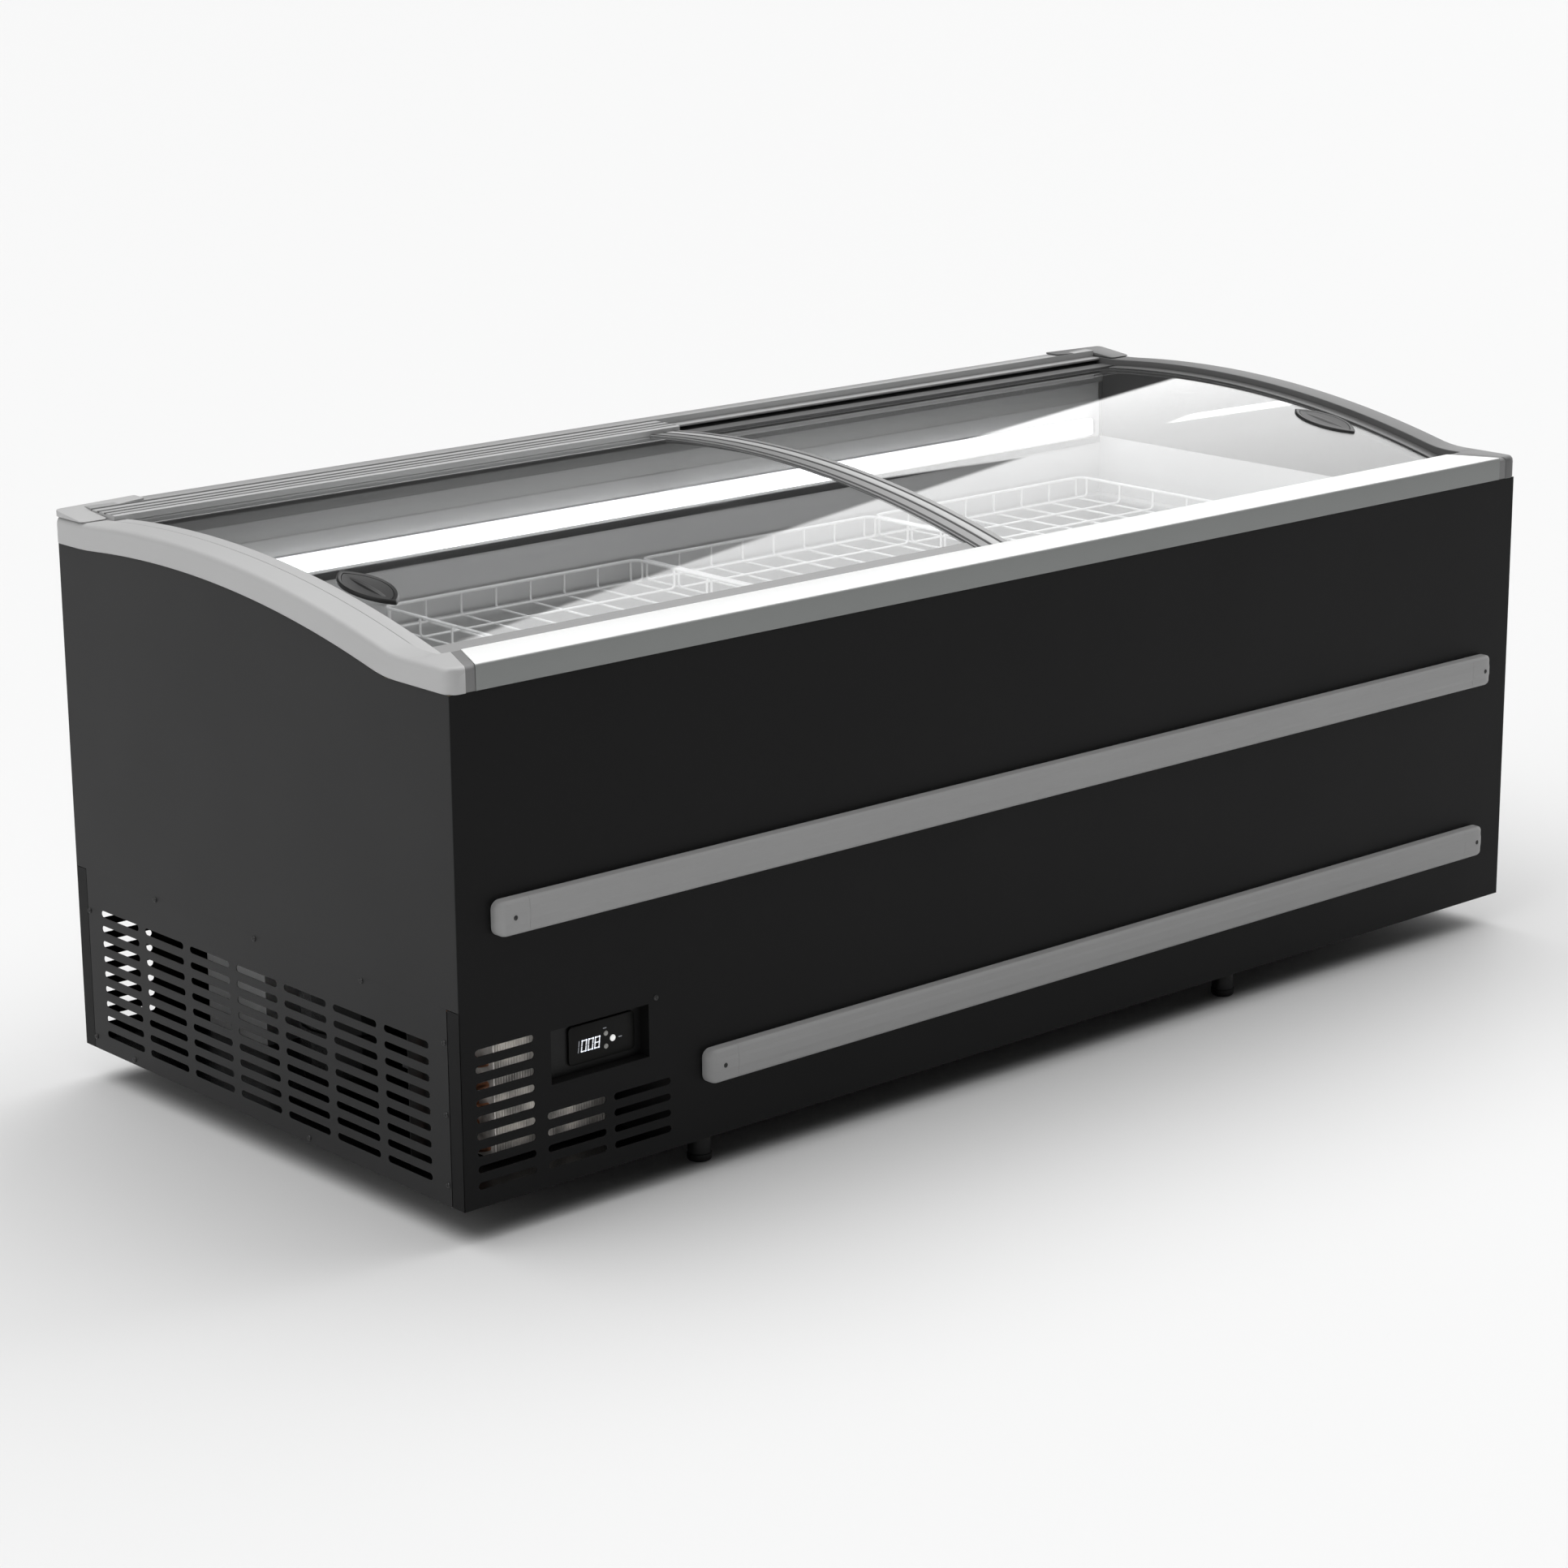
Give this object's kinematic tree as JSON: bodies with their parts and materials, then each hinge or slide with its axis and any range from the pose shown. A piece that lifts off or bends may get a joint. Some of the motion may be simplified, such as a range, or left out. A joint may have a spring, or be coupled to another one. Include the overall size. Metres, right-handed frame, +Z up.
{
  "type": "island chest freezer",
  "caption": "Long island chest freezer with curved sliding glass lids, lit tub, wire baskets, bumper rails and a vented compressor end.",
  "frame": {"origin": "on the floor, under the middle of the bounding box", "axes": "+X along the length away from the compressor end, +Y from the front to the back, +Z up"},
  "size_m": [2.106, 0.938, 0.846],
  "materials": {
    "casing_paint": "satin charcoal powder coat with a fine grain",
    "liner_paint": "smooth white coat",
    "wire_coating": "white dipped plastic coat over wire",
    "foam": "blown foam, hidden in the walls",
    "galvanised_steel": "galvanised sheet",
    "copper": "bare copper tube",
    "rail_metal": "satin grey extrusion",
    "trim_plastic": "light grey moulding with a soft sheen",
    "breaker_dark": "dark strip",
    "breaker_grey": "mid grey strip",
    "lamp": "diffuser over a light strip",
    "lid_glass": "clear curved glass",
    "lid_metal": "satin grey extrusion with gasket lines",
    "lid_edge": "light grey extrusion",
    "lid_glide": "dark sliding profile",
    "handle_plastic": "black moulding with a light rim",
    "bumper_plastic": "grey bumper extrusion",
    "controller_plastic": "black with a lit display",
    "recess_plastic": "dark recess moulding",
    "key_plastic": "pale keys",
    "black_metal": "black enamel",
    "fan_plastic": "black moulding",
    "foot_rubber": "black moulded foot"
  },
  "bodies": {
    "cabinet": {"base_pan": "casing_paint", "basket_ledge": "liner_paint", "breaker_left": "breaker_dark", "breaker_rear": "breaker_grey", "breaker_right": "breaker_dark", "bumper_lower": "bumper_plastic", "bumper_lower_cap_left": "bumper_plastic", "bumper_lower_cap_right": "bumper_plastic", "bumper_upper": "bumper_plastic", "bumper_upper_cap_left": "bumper_plastic", "bumper_upper_cap_right": "bumper_plastic", "compartment_bulkhead": "galvanised_steel", "compressor": "black_metal", "condenser": "galvanised_steel", "controller_case": "controller_plastic", "controller_tray": "recess_plastic", "discharge_pipe": "copper", "electrical_box": "breaker_grey", "end_trim_left": "trim_plastic", "end_trim_right": "trim_plastic", "evaporator_coil": "copper", "fan_motor": "galvanised_steel", "fan_shroud": "fan_plastic", "foam_insulation": "foam", "front_panel": "casing_paint", "front_rail": "rail_metal", "inner_liner": "liner_paint", "led_lamp": "lamp", "left_end_panel": "casing_paint", "left_vent_panel": "casing_paint", "rear_corner_left": "trim_plastic", "rear_corner_right": "trim_plastic", "rear_panel": "casing_paint", "rear_rail": "rail_metal", "right_end_panel": "casing_paint", "suction_pipe": "copper"},
    "lid_left": {"lid_left_front_glide": "lid_glide", "lid_left_glass": "lid_glass", "lid_left_handle": "handle_plastic", "lid_left_inner_bar": "lid_metal", "lid_left_outer_bar": "lid_edge", "lid_left_rear_frame": "lid_metal"},
    "lid_right": {"lid_right_front_glide": "lid_glide", "lid_right_glass": "lid_glass", "lid_right_handle": "handle_plastic", "lid_right_inner_bar": "lid_metal", "lid_right_outer_bar": "lid_edge", "lid_right_rear_frame": "lid_metal"},
    "fan": {"fan_blade": "fan_plastic"},
    "key_up": {"key_up": "key_plastic"},
    "key_set": {"key_set": "key_plastic"},
    "key_down": {"key_down": "key_plastic"},
    "basket_1": {"basket_1": "wire_coating"},
    "basket_2": {"basket_2": "wire_coating"},
    "basket_3": {"basket_3": "wire_coating"},
    "foot_front_left": {"foot_front_left": "foot_rubber"},
    "foot_front_right": {"foot_front_right": "foot_rubber"},
    "foot_rear_left": {"foot_rear_left": "foot_rubber"},
    "foot_rear_right": {"foot_rear_right": "foot_rubber"}
  },
  "joints": [
    {"name": "lid_left_slide", "type": "slide", "parent": "cabinet", "child": "lid_left", "axis": [1, 0, 0], "range_m": [0, 0.9]},
    {"name": "lid_right_slide", "type": "slide", "parent": "cabinet", "child": "lid_right", "axis": [-1, 0, 0], "range_m": [0, 0.9]},
    {"name": "fan_spin", "type": "hinge", "parent": "cabinet", "child": "fan", "pos_m": [-0.872, -0.262, 0.185], "axis": [0, 1, 0], "continuous": true},
    {"name": "key_up_press", "type": "slide", "parent": "cabinet", "child": "key_up", "axis": [0, 1, 0], "range_m": [0, 0.0008], "stiffness_N_per_m": 400},
    {"name": "key_set_press", "type": "slide", "parent": "cabinet", "child": "key_set", "axis": [0, 1, 0], "range_m": [0, 0.0008], "stiffness_N_per_m": 400},
    {"name": "key_down_press", "type": "slide", "parent": "cabinet", "child": "key_down", "axis": [0, 1, 0], "range_m": [0, 0.0008], "stiffness_N_per_m": 400},
    {"name": "basket_1_lift", "type": "slide", "parent": "cabinet", "child": "basket_1", "axis": [0, 0, 1], "range_m": [0, 0.06]},
    {"name": "basket_2_lift", "type": "slide", "parent": "cabinet", "child": "basket_2", "axis": [0, 0, 1], "range_m": [0, 0.06]},
    {"name": "basket_3_lift", "type": "slide", "parent": "cabinet", "child": "basket_3", "axis": [0, 0, 1], "range_m": [0, 0.06]},
    {"name": "foot_front_left_turn", "type": "hinge", "parent": "cabinet", "child": "foot_front_left", "pos_m": [-0.613, -0.401, 0.03], "axis": [0, 0, 1], "continuous": true},
    {"name": "foot_front_right_turn", "type": "hinge", "parent": "cabinet", "child": "foot_front_right", "pos_m": [0.446, -0.401, 0.03], "axis": [0, 0, 1], "continuous": true},
    {"name": "foot_rear_left_turn", "type": "hinge", "parent": "cabinet", "child": "foot_rear_left", "pos_m": [-0.613, 0.405, 0.03], "axis": [0, 0, 1], "continuous": true},
    {"name": "foot_rear_right_turn", "type": "hinge", "parent": "cabinet", "child": "foot_rear_right", "pos_m": [0.446, 0.405, 0.03], "axis": [0, 0, 1], "continuous": true}
  ]
}
